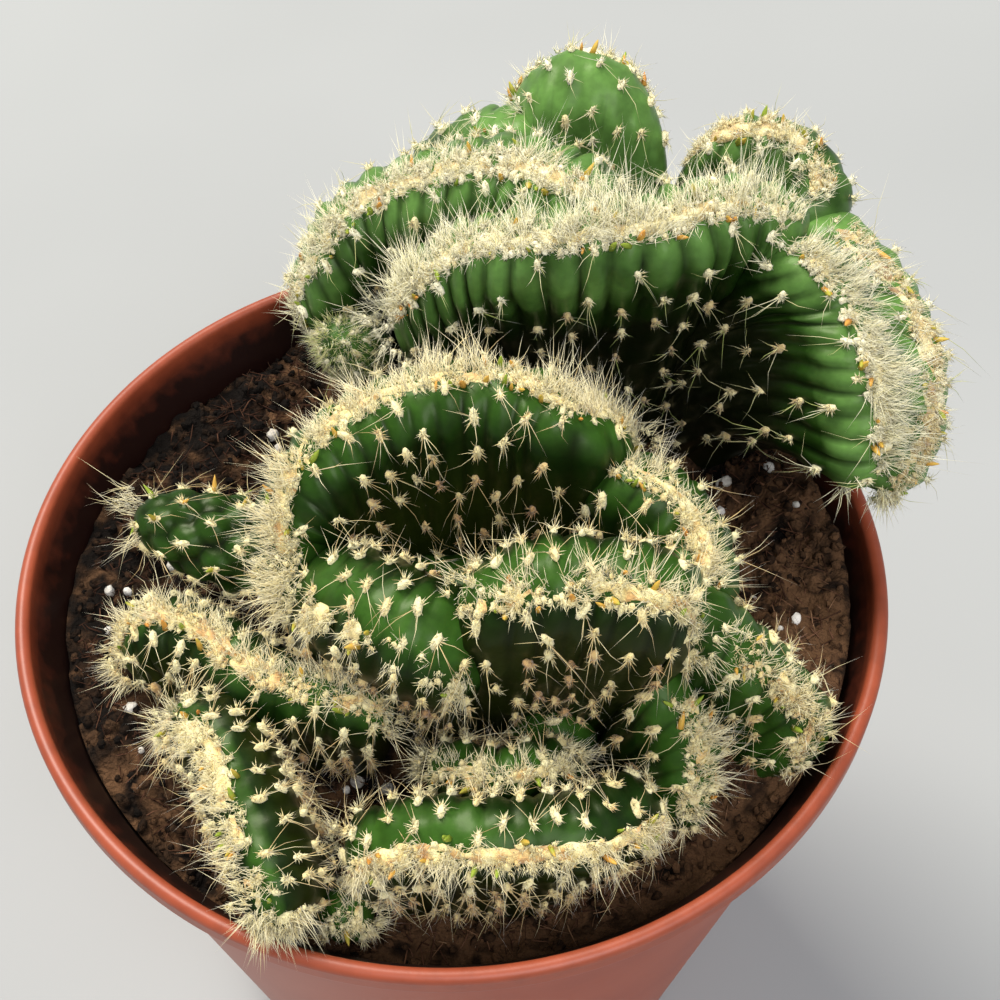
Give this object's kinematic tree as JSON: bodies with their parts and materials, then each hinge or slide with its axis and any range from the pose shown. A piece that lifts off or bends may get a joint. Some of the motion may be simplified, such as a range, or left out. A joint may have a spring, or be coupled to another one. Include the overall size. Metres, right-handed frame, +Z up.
{
  "type": "potted crested jumping cholla",
  "caption": "Crested cholla cactus with folded fan-like stems, cream wool along each crest and thin spines, standing in soil in a round tapered nursery pot.",
  "frame": {"origin": "centre of the flat underside of the pot, on the surface it stands on", "axes": "+Z up, +X to the right and +Y away from the viewer, as the picture shows the plant: the tall rear crest is at +Y and leans out over the rim at +X"},
  "size_m": [0.1086, 0.105, 0.1359],
  "materials": {
    "pot_plastic": "moulded terracotta-coloured plastic, satin",
    "soil": "dark damp peat with tan fibres and white perlite grains",
    "flesh": "waxy deep green cactus skin with cream tufts and whitish spines",
    "wool": "dense cream wool and fine white hairs"
  },
  "bodies": {
    "root": {"pot": "pot_plastic", "soil": "soil", "rear_crest": "flesh", "front_crest": "flesh", "wool_arc": "wool", "wool_bowl": "wool", "wool_dome": "wool", "wool_inner": "wool", "wool_knob": "wool", "wool_left": "wool", "wool_lobe": "wool", "wool_loop": "wool", "wool_lower": "wool", "wool_outer": "wool", "wool_ridge": "wool", "wool_saddle": "wool", "wool_side": "wool", "wool_sill": "wool", "wool_tail": "wool", "wool_upper": "wool", "wool_wall": "wool", "wool_wing": "wool"}
  },
  "joints": []
}
